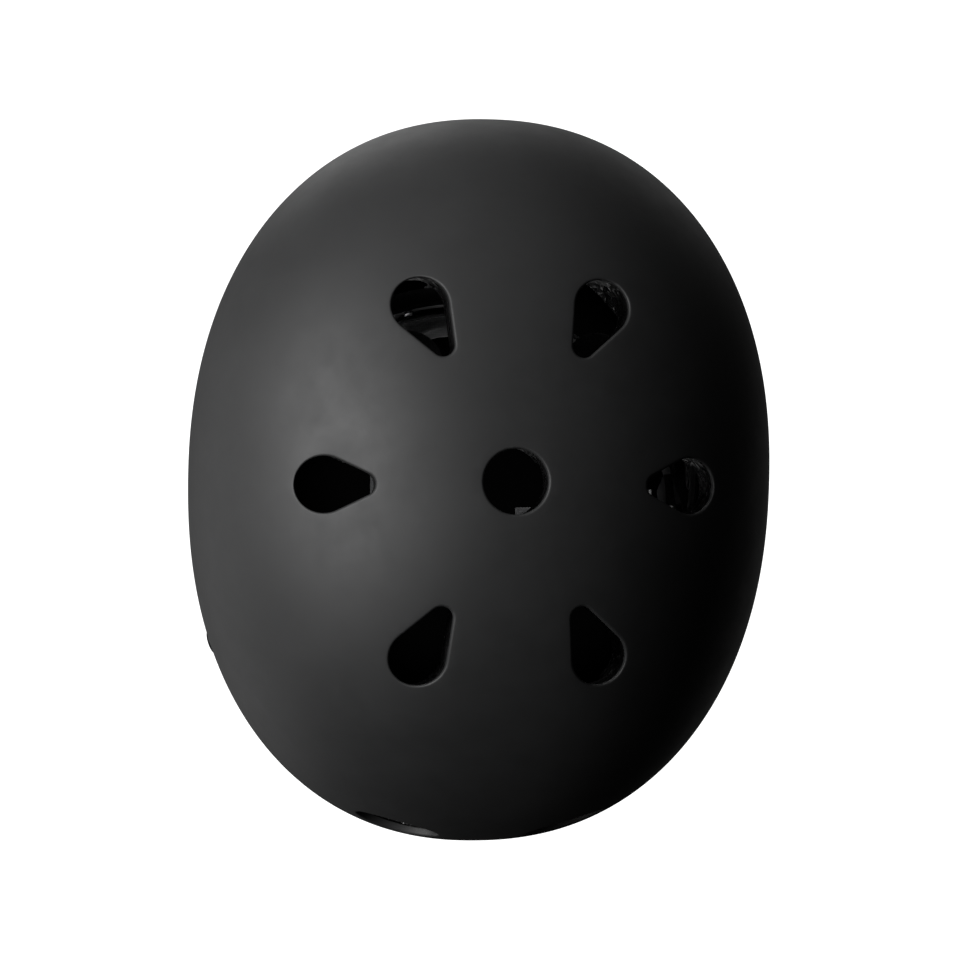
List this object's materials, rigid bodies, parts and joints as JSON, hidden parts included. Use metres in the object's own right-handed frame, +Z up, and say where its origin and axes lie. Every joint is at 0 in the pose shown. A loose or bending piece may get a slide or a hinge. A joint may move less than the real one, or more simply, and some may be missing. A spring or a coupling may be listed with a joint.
{
  "type": "bicycle helmet",
  "caption": "Hard-shell bicycle helmet with teardrop vents, foam liner, pads, dial-fit nape cradle, side dividers and a buckled chin strap.",
  "frame": {"origin": "centre of the head cavity, on the symmetry plane, at mid-length and level with the shell's widest section; the head mount is there", "axes": "+Z up to the crown, the front of the helmet faces -Y, and the wearer's left is +X"},
  "size_m": [0.218, 0.27, 0.3],
  "materials": {
    "shell": "matte, very fine texture",
    "foam": "moulded expanded beads",
    "pad": "brushed knit over foam",
    "webbing": "woven polyester webbing",
    "moulding": "satin moulded nylon",
    "band": "satin flexible nylon",
    "knob": "soft-touch",
    "rivet": "blackened steel",
    "steel": "zinc plated"
  },
  "bodies": {
    "helmet": {"outer_shell": "shell", "foam_liner": "foam", "brow_pad": "pad", "left_side_pad": "pad", "right_side_pad": "pad", "left_crown_pad": "pad", "right_crown_pad": "pad", "back_pad": "pad", "strap_rivets": "rivet", "rivet_washers": "steel", "left_front_strap": "webbing", "left_rear_strap": "webbing", "right_front_strap": "webbing", "right_rear_strap": "webbing", "left_divider": "moulding", "right_divider": "moulding", "left_chin_strap": "webbing", "right_chin_strap": "webbing", "chin_pad": "pad", "buckle_socket": "moulding", "left_temple_anchor": "moulding", "right_temple_anchor": "moulding", "left_pin_cap": "moulding", "right_pin_cap": "moulding"},
    "left_lever": {"left_lever": "moulding"},
    "right_lever": {"right_lever": "moulding"},
    "plug": {"buckle_plug": "moulding", "buckle_prongs": "moulding", "tail_keeper": "knob"},
    "cradle": {"left_temple_guide": "band", "right_temple_guide": "band"},
    "nape": {"dial_housing": "moulding", "housing_plate": "moulding", "housing_screws": "steel", "nape_pad": "pad"},
    "left_arm": {"left_band": "band"},
    "right_arm": {"right_band": "band"},
    "dial": {"dial_knob": "knob", "dial_pinion": "moulding", "dial_screw": "steel", "dial_washer": "steel"}
  },
  "joints": [
    {"name": "cradle_tilt", "type": "hinge", "parent": "helmet", "child": "cradle", "pos_m": [0, -0.012, -0.01], "axis": [1, 0, 0], "range_deg": [-8, 6]},
    {"name": "nape_draw", "type": "slide", "parent": "cradle", "child": "nape", "axis": [0, -0.9135, 0.4067], "range_m": [-0.0097, 0.0097]},
    {"name": "dial_turn", "type": "hinge", "parent": "nape", "child": "dial", "pos_m": [0, 0.07001, -0.06184], "axis": [0, -0.9135, 0.4067], "range_deg": [-140, 140]},
    {"name": "left_arm_draw", "type": "hinge", "parent": "nape", "child": "left_arm", "pos_m": [0, -0.00308, -0.0293], "axis": [0, 0.4067, 0.9135], "range_deg": [-7, 7]},
    {"name": "right_arm_draw", "type": "hinge", "parent": "nape", "child": "right_arm", "pos_m": [0, -0.00308, -0.0293], "axis": [0, -0.4067, -0.9135], "range_deg": [-7, 7]},
    {"name": "left_lever_open", "type": "hinge", "parent": "helmet", "child": "left_lever", "pos_m": [0.0814, -0.01, -0.094], "axis": [0, -1, 0], "range_deg": [0, 100]},
    {"name": "right_lever_open", "type": "hinge", "parent": "helmet", "child": "right_lever", "pos_m": [-0.0814, -0.01, -0.094], "axis": [0, 1, 0], "range_deg": [0, 100]},
    {"name": "buckle_release", "type": "slide", "parent": "helmet", "child": "plug", "axis": [-1, 0, 0], "range_m": [0, 0.025], "deforming": ["right_chin_strap", "buckle_prongs"]}
  ],
  "couplings": [
    {"joint": "dial_turn", "follows": "nape_draw", "rad_per_m": 250},
    {"joint": "left_arm_draw", "follows": "nape_draw", "rad_per_m": 12.5},
    {"joint": "right_arm_draw", "follows": "nape_draw", "rad_per_m": 12.5}
  ]
}
